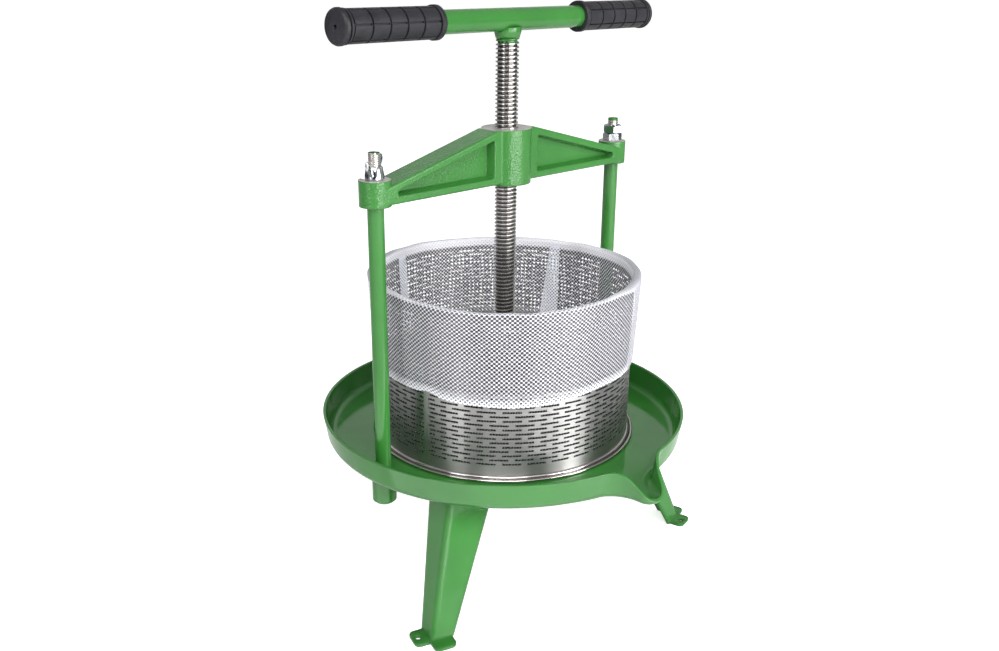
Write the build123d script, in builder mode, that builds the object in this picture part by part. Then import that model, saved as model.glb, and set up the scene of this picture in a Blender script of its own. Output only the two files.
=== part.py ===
from build123d import *
import os
from math import acos, asin, atan, cos, degrees, radians, sin, tan

# Tabletop fruit press: a round juice tray with a drawn spout on three bent-sheet legs, two posts, a cast
# crossbeam, and a hand screw that drives a press plate down a slotted basket lined with a net bag.
# Millimetres. The bench is z = 0, the screw runs on the Z axis, the crossbeam lies along X with the
# clamped post at +X, and the tray pours towards -Y.

# Tray, pressed from sheet with a drafted wall
tray_floor = 122.0
tray_radius = 169.3
tray_depth = 22.8
tray_sheet = 2.5
tray_corner = 9.0
wall_draft = 9.0

# Spout, drawn out of the tray's wall
spout_azimuth = -93.0
spout_reach = 199.0
spout_tip_radius = 17.5
spout_shoulder = 26.0
spout_lip_start = 171.0
spout_lip_slope = 47.0
spout_lip_bend = 14.0
spout_fall_start = 146.0
spout_fall_slope = 6.5
spout_fall_bend = 120.0

# Legs, V-bent sheet with two out-turned foot tabs, one of them drilled
leg_spread = 120.0
leg_sheet = 2.5
leg_top_radius = 138.5
leg_foot_radius = 187.0
leg_top_width = 42.0
leg_foot_width = 20.0
leg_bend = 3.5
foot_tab_length = 12.5
foot_tab_round = 5.0
foot_hole_diameter = 5.0
foot_hole_setback = 7.0

# Posts, with a threaded stud on top, in sockets under the tray
post_spacing = 289.0
post_diameter = 13.5
stud_diameter = 10.0
stud_height = 42.5
stud_chamfer = 1.2
socket_diameter = 21.0
socket_length = 26.0
socket_floor = 4.0
socket_chamfer = 2.0

# Crossbeam casting
boss_base = 355.5
end_boss_radius = 13.0
end_boss_height = 21.0
centre_boss_radius = 22.0
crown_height = 47.5
arm_lift = 1.5
arm_end_height = 14.6
arm_edge_round = 1.5
pocket_flange = 6.0
pocket_depth = 9.0
pocket_draft = 12.0
pocket_round = 2.0
pocket_inset = 4.0
stud_hole_diameter = 10.6

# Fasteners on the studs
nut_across_flats = 16.0
nut_height = 7.5
nut_count = 2
nut_turn = 20.0
nut_turn_step = 25.0
wing_span = 40.0
wing_height = 17.5
wing_thickness = 3.2
wing_hub_radius = 8.0
wing_hub_height = 11.0
wing_azimuth = 36.0
wing_root_low = 0.15
wing_root_high = 0.8
wing_tip_low = 0.55

# Screw and handle
screw_diameter = 20.0
handle_height = 492.6
handle_diameter = 19.0
handle_wall = 2.0
handle_reach = 187.0
handle_azimuth = 2.7
handle_offset = 4.5
weld_width = 1.6
weld_height = 6.0
weld_saddle = 6.0

# Rubber grips, flanged at both ends and closed at the outer one
grip_length = 100.0
grip_diameter = 25.4
grip_flange_diameter = 27.2
grip_flange_width = 4.5
grip_end = 3.5
grip_end_chamfer = 2.0

# Press plate with the hub that holds the screw's end
pulp_height = 70.0
plate_radius = 112.0
plate_thickness = 4.0
plate_edge_chamfer = 1.2
hub_radius = 22.0
hub_height = 26.0
hub_top_chamfer = 2.0
washer_thickness = 2.0
keeper_diameter = 6.0
keeper_height = 9.0
keeper_count = 2
keeper_groove_depth = 2.4

# Basket, slotted sheet with a turned-out rim on a foot ring
basket_radius = 117.0
basket_sheet = 1.0
basket_height = 149.5
rim_hem_width = 2.2
rim_hem_height = 3.2
slot_rows = 10
slots_per_row = 16
slot_length = 34.0
slot_height = 1.8
slot_row_pitch = 12.0
slot_first_row = 14.0
foot_ring_radius = 123.2
foot_bead_width = 3.6
foot_bead_height = 4.4
foot_flange = 1.2
seam_azimuth = -168.6
seam_width = 5.0
seam_sheet = 0.8
seam_top_margin = 6.0

# Net bag, folded out over the basket's rim
bag_cloth = 0.8
bag_hem_height = 70.0

# Clearances
running_clearance = 0.06
thread_clearance = 0.05
seat_clearance = 0.05
soft_clearance = 0.3
keeper_clearance = 0.4

# Heights and places that follow from the sizes above
rim_top = tray_floor + tray_depth
tray_underside = tray_floor - tray_sheet
post_x = post_spacing / 2
boss_top = boss_base + end_boss_height
crown_top = boss_base + crown_height
plate_underside = tray_floor + pulp_height
plate_top = plate_underside + plate_thickness
screw_radius = screw_diameter / 2
screw_end = plate_top + washer_thickness
keeper_level = screw_end + keeper_height
basket_inner_radius = basket_radius - basket_sheet

spout_plan = Plane((0, 0, 0), x_dir=Vector(1, 0, 0).rotate(Axis.Z, spout_azimuth + 90), z_dir=(0, 0, 1))
spout_section = Plane((0, 0, 0), x_dir=-spout_plan.y_dir, z_dir=-spout_plan.x_dir)
handle_plane = Plane(
    (0, 0, handle_height), x_dir=Vector(1, 0, 0).rotate(Axis.Z, handle_azimuth), z_dir=(0, 0, 1)
)
handle_axis = Axis(handle_plane.origin, handle_plane.x_dir)
handle_middle = Plane(
    handle_plane.from_local_coords(Vector(handle_offset, 0, 0)), x_dir=handle_plane.x_dir, z_dir=(0, 0, 1)
)
clearing = 2 * tray_radius

os.makedirs("parts", exist_ok=True)


# Tray
def rim_plan(inset):
    # the rim's outline in four arcs, each running smoothly into the next: bowl, shoulder, tip and shoulder
    bowl = tray_radius - inset
    tip = spout_tip_radius - inset
    shoulder = spout_shoulder + inset
    tip_middle = Vector(0, spout_tip_radius - spout_reach)
    to_tip = tip_middle.length
    to_centre = bowl + shoulder
    turn = acos((to_centre**2 + to_tip**2 - (tip + shoulder) ** 2) / (2 * to_centre * to_tip))
    centre = Vector(sin(turn), -cos(turn)) * to_centre
    on_bowl = centre - centre.normalized() * shoulder
    on_tip = centre + (tip_middle - centre).normalized() * shoulder
    between = centre + ((on_bowl + on_tip) * 0.5 - centre).normalized() * shoulder
    with BuildSketch(spout_plan.offset(rim_top)) as outline:
        with BuildLine():
            ThreePointArc((0, bowl), (bowl, 0), on_bowl)
            ThreePointArc(on_bowl, between, on_tip)
            tip_bisector = (on_tip - tip_middle).normalized() + Vector(0, -1)
            ThreePointArc(on_tip, tip_middle + tip_bisector.normalized() * tip, (0, -spout_reach + inset))
            mirror(about=Plane.YZ)
        make_face()
    return outline.sketch


def below_floor(level):
    # everything under the floor, which bends down along the spout's channel
    run = clearing - spout_fall_start
    with BuildSketch(spout_section) as section:
        with BuildLine():
            Polyline(
                (-clearing, level),
                (spout_fall_start, level),
                (clearing, level - run * tan(radians(spout_fall_slope))),
                (clearing, -clearing),
                (-clearing, -clearing),
                close=True,
            )
        make_face()
        bend = section.vertices().sort_by_distance((spout_fall_start, level))[0]
        fillet(bend, spout_fall_bend)
    return section.sketch


def bowl_body(inset, floor, corner):
    # solid of the bowl and spout, drawn in by an inset, with a rounded corner round its floor
    with BuildPart() as body:
        extrude(rim_plan(inset), amount=-tray_depth - 2 * tray_corner, taper=wall_draft)
        extrude(below_floor(floor), amount=clearing, both=True, mode=Mode.SUBTRACT)
        underneath = body.faces().filter_by(lambda f: f.normal_at().Z < -0.9)
        across = spout_plan.x_dir
        outer = underneath.edges().filter_by(
            lambda e: e.geom_type != GeomType.LINE or abs((e @ 1 - e @ 0).normalized().dot(across)) < 0.99
        )
        fillet(outer, corner)
    return body.part


with BuildPart() as tray:
    add(bowl_body(0, tray_underside, tray_corner))
    wall_inset = tray_sheet / cos(radians(wall_draft))
    add(bowl_body(wall_inset, tray_floor, tray_corner - tray_sheet), mode=Mode.SUBTRACT)
    with BuildSketch(spout_section) as above_rim:
        lip_run = clearing - spout_lip_start
        with BuildLine():
            Polyline(
                (-clearing, rim_top),
                (spout_lip_start, rim_top),
                (clearing, rim_top - lip_run * tan(radians(spout_lip_slope))),
                (clearing, clearing),
                (-clearing, clearing),
                close=True,
            )
        make_face()
        fillet(above_rim.vertices().sort_by_distance((spout_lip_start, rim_top))[0], spout_lip_bend)
    extrude(above_rim.sketch, amount=clearing, both=True, mode=Mode.SUBTRACT)
    with Locations((-post_x, 0, tray_floor), (post_x, 0, tray_floor)):
        Cylinder(
            post_diameter / 2 + seat_clearance,
            2 * tray_sheet,
            align=(Align.CENTER, Align.CENTER, Align.CENTER),
            mode=Mode.SUBTRACT,
        )
tray.part.label = "tray"
export_step(tray.part, "parts/tray.step")


# Legs
def leg(azimuth):
    outward = Plane((0, 0, 0), x_dir=Vector(1, 0, 0).rotate(Axis.Z, azimuth), z_dir=(0, 0, 1))
    foot = outward.from_local_coords(Vector(leg_foot_radius, 0, 0))
    head = outward.from_local_coords(Vector(leg_top_radius, 0, tray_underside))
    lean = Plane(foot, x_dir=-outward.y_dir, z_dir=head - foot)
    length = (head - foot).length
    # a fold of this angle shows as a right angle in the level section
    half_fold = atan(length / tray_underside)
    with BuildPart() as bent_leg:
        with BuildSketch(lean.offset(-leg_top_width)) as profile:
            arm = 2 * leg_top_width
            with BuildLine():
                Polyline(
                    (-arm * sin(half_fold), -arm * cos(half_fold)),
                    (0, 0),
                    (arm * sin(half_fold), -arm * cos(half_fold)),
                    (arm * sin(half_fold), -leg_sheet / sin(half_fold) - arm * cos(half_fold)),
                    (0, -leg_sheet / sin(half_fold)),
                    (-arm * sin(half_fold), -leg_sheet / sin(half_fold) - arm * cos(half_fold)),
                    close=True,
                )
            make_face()
            fillet(profile.vertices().sort_by_distance((0, 0))[0], leg_bend)
        extrude(profile.sketch, amount=length + 2 * leg_top_width)
        with BuildSketch(Plane(foot, x_dir=outward.y_dir, z_dir=outward.x_dir)) as front:
            half_foot = leg_foot_width * cos(radians(45))
            half_top = leg_top_width * cos(radians(45))
            with BuildLine():
                Polyline(
                    (-half_foot, 0),
                    (half_foot, 0),
                    (half_top, tray_underside),
                    (-half_top, tray_underside),
                    close=True,
                )
            make_face()
        extrude(front.sketch, amount=leg_foot_radius, both=True, mode=Mode.INTERSECT)
        for side in (-1, 1):
            fold = Plane(
                foot,
                x_dir=side * outward.y_dir - outward.x_dir,
                z_dir=(0, 0, side),
            )
            with BuildSketch(fold) as tab:
                with Locations((leg_foot_width / 2, leg_sheet)):
                    Rectangle(leg_foot_width, foot_tab_length + leg_sheet, align=(Align.CENTER, Align.MAX))
                fillet(tab.vertices().group_by(Axis.Y)[0], foot_tab_round)
                if side < 0:
                    with Locations((leg_foot_width / 2, -foot_hole_setback)):
                        Circle(foot_hole_diameter / 2, mode=Mode.SUBTRACT)
            extrude(tab.sketch, amount=side * leg_sheet)
    return bent_leg


leg_names = {"left_leg": -leg_spread / 2, "right_leg": leg_spread / 2, "rear_leg": 1.5 * leg_spread}
for leg_name, turn in leg_names.items():
    bent_leg = leg(spout_azimuth + turn)
    bent_leg.part.label = leg_name
    export_step(bent_leg.part, f"parts/{leg_name}.step")

# Post sockets and posts
socket_end = tray_underside - socket_length
post_end = socket_end + socket_floor
for side_name, x in {"left": -post_x, "right": post_x}.items():
    with BuildPart() as socket:
        with Locations((x, 0, socket_end)):
            Cylinder(socket_diameter / 2, socket_length, align=(Align.CENTER, Align.CENTER, Align.MIN))
        chamfer(socket.edges().sort_by(Axis.Z)[0], socket_chamfer)
        with Locations((x, 0, post_end)):
            Cylinder(
                post_diameter / 2 + seat_clearance,
                socket_length,
                align=(Align.CENTER, Align.CENTER, Align.MIN),
                mode=Mode.SUBTRACT,
            )
    socket.part.label = f"{side_name}_post_socket"
    export_step(socket.part, f"parts/{side_name}_post_socket.step")

    with BuildPart() as post:
        with Locations((x, 0, post_end)):
            Cylinder(post_diameter / 2, boss_base - post_end, align=(Align.CENTER, Align.CENTER, Align.MIN))
        with Locations((x, 0, boss_base)):
            Cylinder(stud_diameter / 2, stud_height, align=(Align.CENTER, Align.CENTER, Align.MIN))
        chamfer(post.edges().sort_by(Axis.Z)[-1], stud_chamfer)
    post.part.label = f"{side_name}_post"
    export_step(post.part, f"parts/{side_name}_post.step")

# Crossbeam casting
arm_base = boss_base + arm_lift
arm_slope = (crown_height - arm_end_height) / (post_x - centre_boss_radius)
with BuildPart() as crossbeam:
    with BuildSketch(Plane.XZ) as arms:
        with BuildLine():
            Polyline(
                (post_x, arm_base),
                (post_x, boss_base + arm_end_height),
                (centre_boss_radius, crown_top),
                (-centre_boss_radius, crown_top),
                (-post_x, boss_base + arm_end_height),
                (-post_x, arm_base),
                close=True,
            )
        make_face()
    extrude(amount=end_boss_radius, both=True)
    long_edges = crossbeam.edges().filter_by(Axis.Y, reverse=True).filter_by(Axis.Z, reverse=True)
    fillet(long_edges, arm_edge_round)
    for x in (-post_x, post_x):
        with Locations((x, 0, boss_base)):
            Cylinder(end_boss_radius, end_boss_height, align=(Align.CENTER, Align.CENTER, Align.MIN))
    with Locations((0, 0, boss_base)):
        Cylinder(centre_boss_radius, crown_height, align=(Align.CENTER, Align.CENTER, Align.MIN))
    pocket_base = arm_base + pocket_flange
    pocket_near = centre_boss_radius + pocket_inset
    pocket_far = post_x - end_boss_radius
    for front in (-1, 1):
        arm_face = Plane((0, front * end_boss_radius, 0), x_dir=(1, 0, 0), z_dir=(0, front, 0))
        for side in (-1, 1):
            with BuildSketch(arm_face) as pocket:
                tops = []
                for x in (pocket_near, pocket_far):
                    arm_top = crown_top - (x - centre_boss_radius) * arm_slope
                    tops.append(arm_top - pocket_flange)
                with BuildLine():
                    Polyline(
                        (side * pocket_near, -front * pocket_base),
                        (side * pocket_far, -front * pocket_base),
                        (side * pocket_far, -front * tops[1]),
                        (side * pocket_near, -front * tops[0]),
                        close=True,
                    )
                make_face()
                fillet(pocket.vertices(), pocket_round)
            extrude(pocket.sketch, amount=-pocket_depth, taper=pocket_draft, mode=Mode.SUBTRACT)
    with Locations((0, 0, boss_base)):
        Cylinder(
            screw_radius + running_clearance,
            crown_height,
            align=(Align.CENTER, Align.CENTER, Align.MIN),
            mode=Mode.SUBTRACT,
        )
    for x in (-post_x, post_x):
        with Locations((x, 0, boss_base)):
            Cylinder(
                stud_hole_diameter / 2,
                end_boss_height,
                align=(Align.CENTER, Align.CENTER, Align.MIN),
                mode=Mode.SUBTRACT,
            )
    # the left boss is open at the back, so that the beam can swing off its stud
    with Locations((-post_x, 0, boss_base)):
        Box(
            stud_hole_diameter,
            2 * end_boss_radius,
            end_boss_height,
            align=(Align.CENTER, Align.MIN, Align.MIN),
            mode=Mode.SUBTRACT,
        )
crossbeam.part.label = "crossbeam"
export_step(crossbeam.part, "parts/crossbeam.step")

# Nut and jam nut on the clamped post
with BuildPart() as post_nuts:
    for level in range(nut_count):
        with BuildSketch(Plane((post_x, 0, boss_top + level * nut_height))) as hexagon:
            turned = nut_turn + nut_turn_step * level
            RegularPolygon(nut_across_flats / 2, 6, major_radius=False, rotation=turned)
            Circle(stud_diameter / 2 + thread_clearance, mode=Mode.SUBTRACT)
        extrude(hexagon.sketch, amount=nut_height - seat_clearance)
post_nuts.part.label = "post_nuts"
export_step(post_nuts.part, "parts/post_nuts.step")

# Wing nut on the quick-release post
wing_plane = Plane(
    (-post_x, 0, boss_top),
    x_dir=Vector(1, 0, 0).rotate(Axis.Z, wing_azimuth),
    z_dir=Vector(0, -1, 0).rotate(Axis.Z, wing_azimuth),
)
with BuildPart() as wing_nut:
    with Locations((-post_x, 0, boss_top)):
        Cylinder(wing_hub_radius, wing_hub_height, align=(Align.CENTER, Align.CENTER, Align.MIN))
    with BuildSketch(wing_plane) as wings:
        with BuildLine():
            Polyline(
                (0, wing_hub_height * wing_root_low),
                (wing_hub_radius, wing_hub_height * wing_root_low),
                (wing_span / 2, wing_height * wing_tip_low),
                (wing_span / 2, wing_height),
                (wing_span / 2 - wing_thickness * 2, wing_height),
                (wing_hub_radius, wing_hub_height * wing_root_high),
                (0, wing_hub_height * wing_root_high),
                close=True,
            )
        make_face()
        fillet(wings.vertices().group_by(Axis.X)[-1], wing_thickness)
        mirror(about=Plane.YZ)
    extrude(wings.sketch, amount=wing_thickness / 2, both=True)
    with Locations((-post_x, 0, boss_top)):
        Cylinder(
            stud_diameter / 2 + running_clearance,
            2 * wing_height,
            mode=Mode.SUBTRACT,
        )
wing_nut.part.label = "wing_nut"
export_step(wing_nut.part, "parts/wing_nut.step")

# Press screw, coped to the handle tube and grooved for its keepers
with BuildPart() as press_screw:
    screw_top = handle_height - weld_saddle
    with Locations((0, 0, screw_end)):
        Cylinder(screw_radius, screw_top - screw_end, align=(Align.CENTER, Align.CENTER, Align.MIN))
    with BuildSketch(Plane.XZ) as keeper_groove:
        with Locations((screw_radius, keeper_level)):
            Rectangle(2 * keeper_groove_depth, keeper_diameter + 2 * keeper_clearance)
    revolve(keeper_groove.sketch, axis=Axis.Z, mode=Mode.SUBTRACT)
    with BuildSketch(Plane(handle_plane.origin, z_dir=handle_plane.x_dir)) as cope:
        Circle(handle_diameter / 2 + seat_clearance)
    extrude(cope.sketch, amount=handle_reach, both=True, mode=Mode.SUBTRACT)
press_screw.part.label = "press_screw"
export_step(press_screw.part, "parts/press_screw.step")

# Weld bead round the screw's head
with BuildPart() as weld_bead:
    bead_inner = screw_radius + seat_clearance
    bead_base = handle_height - handle_diameter / 2 - weld_height
    with BuildSketch(Plane.XZ) as bead_profile:
        with BuildLine():
            Polyline(
                (bead_inner, screw_top),
                (bead_inner, bead_base),
                (bead_inner + weld_width, handle_height - handle_diameter / 2),
                (bead_inner + weld_width, screw_top),
                close=True,
            )
        make_face()
    revolve(bead_profile.sketch, axis=Axis.Z)
    extrude(cope.sketch, amount=handle_reach, both=True, mode=Mode.SUBTRACT)
weld_bead.part.label = "weld_bead"
export_step(weld_bead.part, "parts/weld_bead.step")

# Handle tube
with BuildPart() as handle_tube:
    with BuildSketch(Plane(handle_middle.origin, z_dir=handle_middle.x_dir)) as tube_section:
        Circle(handle_diameter / 2)
        Circle(handle_diameter / 2 - handle_wall, mode=Mode.SUBTRACT)
    extrude(tube_section.sketch, amount=handle_reach - grip_end, both=True)
handle_tube.part.label = "handle_tube"
export_step(handle_tube.part, "parts/handle_tube.step")


# Grips
def grip(side):
    start = handle_reach - grip_length
    bore_radius = handle_diameter / 2 + seat_clearance
    low = (Align.MIN, Align.MIN)
    with BuildPart() as rubber:
        with BuildSketch(handle_middle) as profile:
            with Locations((start, 0)):
                Rectangle(grip_length, grip_diameter / 2, align=low)
                Rectangle(grip_flange_width, grip_flange_diameter / 2, align=low)
            with Locations((handle_reach - grip_flange_width, 0)):
                Rectangle(grip_flange_width, grip_flange_diameter / 2, align=low)
            chamfer(profile.vertices().group_by(Axis.X)[-1].sort_by(Axis.Y)[-1], grip_end_chamfer)
            with Locations((start, 0)):
                Rectangle(grip_length - grip_end, bore_radius, align=low, mode=Mode.SUBTRACT)
        revolve(profile.sketch, axis=handle_axis)
        if side < 0:
            mirror(about=Plane(handle_middle.origin, z_dir=handle_middle.x_dir), mode=Mode.REPLACE)
    return rubber


for grip_name, side in {"left_grip": -1, "right_grip": 1}.items():
    rubber = grip(side)
    rubber.part.label = grip_name
    export_step(rubber.part, f"parts/{grip_name}.step")

# Press plate
with BuildPart() as press_plate:
    with Locations((0, 0, plate_underside)):
        Cylinder(plate_radius, plate_thickness, align=(Align.CENTER, Align.CENTER, Align.MIN))
    chamfer(press_plate.edges().sort_by(Axis.Z)[0], plate_edge_chamfer)
press_plate.part.label = "press_plate"
export_step(press_plate.part, "parts/press_plate.step")

# Hub on the plate, bored for the screw's end and cross-drilled for its keepers
with BuildPart() as plate_hub:
    with Locations((0, 0, plate_top)):
        Cylinder(hub_radius, hub_height, align=(Align.CENTER, Align.CENTER, Align.MIN))
    chamfer(plate_hub.edges().sort_by(Axis.Z)[-1], hub_top_chamfer)
    with Locations((0, 0, plate_top)):
        Cylinder(
            screw_radius + running_clearance,
            hub_height,
            align=(Align.CENTER, Align.CENTER, Align.MIN),
            mode=Mode.SUBTRACT,
        )
    with BuildSketch(Plane.XZ.offset(-hub_radius)) as keeper_hole:
        with Locations((0, keeper_level)):
            Circle(keeper_diameter / 2 + thread_clearance)
    extrude(keeper_hole.sketch, amount=2 * hub_radius, mode=Mode.SUBTRACT)
plate_hub.part.label = "plate_hub"
export_step(plate_hub.part, "parts/plate_hub.step")

# Thrust washer under the screw's end
with BuildPart() as thrust_washer:
    with Locations((0, 0, plate_top)):
        Cylinder(
            screw_radius - seat_clearance,
            washer_thickness,
            align=(Align.CENTER, Align.CENTER, Align.MIN),
        )
thrust_washer.part.label = "thrust_washer"
export_step(thrust_washer.part, "parts/thrust_washer.step")

# Keeper screws, whose tips run in the screw's groove
with BuildPart() as keeper_screws:
    keeper_tip = screw_radius - keeper_groove_depth + keeper_clearance
    for turn in range(keeper_count):
        outward = Vector(0, 1, 0).rotate(Axis.Z, turn * 360 / keeper_count)
        with BuildSketch(Plane(Vector(0, 0, keeper_level) + outward * keeper_tip, z_dir=outward)) as keeper:
            Circle(keeper_diameter / 2)
        extrude(keeper.sketch, amount=hub_radius - keeper_tip - seat_clearance)
keeper_screws.part.label = "keeper_screws"
export_step(keeper_screws.part, "parts/keeper_screws.step")

# Basket wall with a turned-out rim and staggered rows of slots
basket_top = tray_floor + basket_height
with BuildPart() as basket_wall:
    with BuildSketch(Plane.XZ) as wall_profile:
        with Locations((basket_inner_radius, tray_floor)):
            Rectangle(basket_sheet, basket_height, align=(Align.MIN, Align.MIN))
        with Locations((basket_radius, basket_top)):
            Rectangle(rim_hem_width, rim_hem_height, align=(Align.MIN, Align.MAX))
    revolve(wall_profile.sketch, axis=Axis.Z)
    slot_places = []
    for row in range(slot_rows):
        level = tray_floor + slot_first_row + row * slot_row_pitch
        stagger = (row % 2) * 180 / slots_per_row
        for step in range(slots_per_row // 2):
            slot_places.append(Location((0, 0, level), (0, 0, stagger + step * 360 / slots_per_row)))
    with Locations(*slot_places):
        Box(2 * foot_ring_radius, slot_length, slot_height, mode=Mode.SUBTRACT)
basket_wall.part.label = "basket_wall"
export_step(basket_wall.part, "parts/basket_wall.step")

# Foot ring, a flange with a rolled edge
with BuildPart() as basket_foot_ring:
    ring_inner = basket_radius + seat_clearance
    bead_inner = foot_ring_radius - foot_bead_width
    bead_side = foot_bead_width / 3
    bead_top = tray_floor + foot_bead_height
    with BuildSketch(Plane.XZ) as ring_profile:
        with BuildLine():
            Polyline(
                (ring_inner, tray_floor),
                (foot_ring_radius, tray_floor),
                (foot_ring_radius, bead_top - bead_side),
                (foot_ring_radius - bead_side, bead_top),
                (bead_inner + bead_side, bead_top),
                (bead_inner, tray_floor + foot_flange),
                (ring_inner, tray_floor + foot_flange),
                close=True,
            )
        make_face()
    revolve(ring_profile.sketch, axis=Axis.Z)
basket_foot_ring.part.label = "basket_foot_ring"
export_step(basket_foot_ring.part, "parts/basket_foot_ring.step")

# Seam strip over the wall's joint
with BuildPart() as basket_seam_strip:
    seam_angle = 2 * degrees(asin(seam_width / 2 / basket_radius))
    seam_plane = Plane.XZ.rotated((0, 0, seam_azimuth - seam_angle / 2))
    seam_base = tray_floor + foot_flange + seat_clearance
    seam_height = basket_height - foot_flange - seam_top_margin
    with BuildSketch(seam_plane) as strip_profile:
        with Locations((basket_radius + seat_clearance, seam_base)):
            Rectangle(seam_sheet, seam_height, align=(Align.MIN, Align.MIN))
    revolve(strip_profile.sketch, axis=Axis.Z, revolution_arc=seam_angle)
basket_seam_strip.part.label = "basket_seam_strip"
export_step(basket_seam_strip.part, "parts/basket_seam_strip.step")

# Filter bag, a net lining turned out over the rim and down to its hem
with BuildPart() as filter_bag:
    lining = basket_inner_radius - soft_clearance
    skirt = basket_radius + rim_hem_width + soft_clearance
    bag_base = tray_floor + soft_clearance
    fold = basket_top + soft_clearance
    hem = tray_floor + bag_hem_height
    with BuildSketch(Plane.XZ) as bag_profile:
        with BuildLine():
            Polyline(
                (0, bag_base),
                (lining, bag_base),
                (lining, fold),
                (skirt, fold),
                (skirt, hem),
                (skirt + bag_cloth, hem),
                (skirt + bag_cloth, fold + bag_cloth),
                (lining - bag_cloth, fold + bag_cloth),
                (lining - bag_cloth, bag_base + bag_cloth),
                (0, bag_base + bag_cloth),
                close=True,
            )
        make_face()
    revolve(bag_profile.sketch, axis=Axis.Z)
filter_bag.part.label = "filter_bag"
export_step(filter_bag.part, "parts/filter_bag.step")
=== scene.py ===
import bmesh
import bpy
import math
from mathutils import Matrix, Vector


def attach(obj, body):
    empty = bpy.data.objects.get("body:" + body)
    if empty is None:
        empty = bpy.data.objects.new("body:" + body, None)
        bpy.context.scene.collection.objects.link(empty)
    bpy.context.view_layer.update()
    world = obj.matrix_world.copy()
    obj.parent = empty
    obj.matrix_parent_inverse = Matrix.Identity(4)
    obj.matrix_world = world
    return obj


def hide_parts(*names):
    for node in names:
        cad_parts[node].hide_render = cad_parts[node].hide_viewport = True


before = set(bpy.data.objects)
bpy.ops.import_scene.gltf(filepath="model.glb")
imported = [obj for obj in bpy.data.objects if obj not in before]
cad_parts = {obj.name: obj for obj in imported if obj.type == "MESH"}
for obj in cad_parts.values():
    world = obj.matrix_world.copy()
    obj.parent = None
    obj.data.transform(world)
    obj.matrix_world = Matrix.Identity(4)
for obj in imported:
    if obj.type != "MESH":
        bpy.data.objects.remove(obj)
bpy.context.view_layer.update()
print("stage: frame loaded")

# Points nearer than these are one, within a piece and between wound or stacked copies
mergeBelow = 1e-6
seamBelow = 1e-5

# A face looks along an axis when its normal's part along it is more than this
looksAlong = 0.9


# Measures
def clamp(value):
    return min(max(value, 0), 1)


def degreesApart(first, second):
    return abs((first - second + 180) % 360 - 180)


def columnOf(point, columns):
    return int(math.floor((math.atan2(point.y, point.x) % math.tau) / (math.tau / columns)))


def waveSum(waves, angle):
    return sum(size * math.sin(count * angle + shift) for count, size, shift in waves)


def arcPoints(middle, radius, degrees):
    angles = [math.radians(value) for value in degrees]
    return [(middle[0] + radius * math.cos(a), middle[1] + radius * math.sin(a)) for a in angles]


# Editing helpers
def selectOnly(obj):
    bpy.ops.object.select_all(action="DESELECT")
    obj.select_set(True)
    bpy.context.view_layer.objects.active = obj


def openEdit(obj, mode):
    selectOnly(obj)
    bpy.ops.object.mode_set(mode="EDIT")
    bpy.ops.mesh.select_mode(type=mode)
    bpy.ops.mesh.select_all(action="DESELECT")


def closeEdit():
    bpy.ops.object.mode_set(mode="OBJECT")


def pickFaces(obj, test):
    bpy.ops.mesh.select_all(action="DESELECT")
    mesh = bmesh.from_edit_mesh(obj.data)
    for face in mesh.faces:
        if test(face.calc_center_median(), face.normal):
            face.select_set(True)
    bmesh.update_edit_mesh(obj.data)


def pickEdges(obj, test):
    bpy.ops.mesh.select_all(action="DESELECT")
    mesh = bmesh.from_edit_mesh(obj.data)
    for edge in mesh.edges:
        if test(edge.verts[0].co, edge.verts[1].co):
            edge.select_set(True)
    bmesh.update_edit_mesh(obj.data)


def applyModifier(obj, kind, **settings):
    selectOnly(obj)
    modifier = obj.modifiers.new(kind.title(), kind)
    for key, value in settings.items():
        setattr(modifier, key, value)
    bpy.ops.object.modifier_apply(modifier=modifier.name)


def combine(obj, other, operation):
    applyModifier(obj, "BOOLEAN", object=other, operation=operation, solver="EXACT")
    bpy.data.objects.remove(other)


def joinInto(obj, *others):
    selectOnly(obj)
    for other in others:
        other.select_set(True)
    bpy.ops.object.join()


def settle(obj, place):
    selectOnly(obj)
    obj.matrix_world = place
    bpy.ops.object.transform_apply(location=True, rotation=True, scale=True)


def copyTo(obj, place):
    selectOnly(obj)
    bpy.ops.object.duplicate()
    copy = bpy.context.object
    settle(copy, place)
    return copy


def cleanNormals(obj):
    openEdit(obj, "VERT")
    bpy.ops.mesh.select_all(action="SELECT")
    bpy.ops.mesh.remove_doubles(threshold=mergeBelow)
    bpy.ops.mesh.normals_make_consistent(inside=False)
    closeEdit()


def smooth(obj, degreesSharp):
    selectOnly(obj)
    bpy.ops.object.shade_smooth_by_angle(angle=math.radians(degreesSharp))


def drawUp(height):
    bpy.ops.mesh.extrude_edges_move(TRANSFORM_OT_translate={"value": (0, 0, height)})


def widen(scale):
    bpy.ops.transform.resize(value=(scale, scale, 1), center_override=(0, 0, 0))


def turnProfile(name, profile, steps, capped=False):
    # a ring drawn out along (radius, height) points, one loop at a time
    firstRadius, firstHeight = profile[0]
    bpy.ops.object.select_all(action="DESELECT")
    bpy.ops.mesh.primitive_circle_add(vertices=steps, radius=firstRadius, location=(0, 0, firstHeight))
    obj = bpy.context.object
    obj.name = name
    bpy.ops.object.transform_apply(location=True, rotation=True, scale=True)
    openEdit(obj, "VERT")
    bpy.ops.mesh.select_all(action="SELECT")
    for (lastRadius, lastHeight), (radius, height) in zip(profile, profile[1:]):
        drawUp(height - lastHeight)
        widen(radius / lastRadius)
    if capped:
        bpy.ops.mesh.select_all(action="SELECT")
        bpy.ops.mesh.fill_holes(sides=0)
    closeEdit()
    cleanNormals(obj)
    return obj


def cutBore(obj, size, steps=40):
    low, high = size["boreSpan"]
    bore = turnProfile("bore", [(size["bore"], low), (size["bore"], high)], steps, capped=True)
    combine(obj, bore, "DIFFERENCE")
    cleanNormals(obj)
    smooth(obj, size["sharp"])


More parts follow.
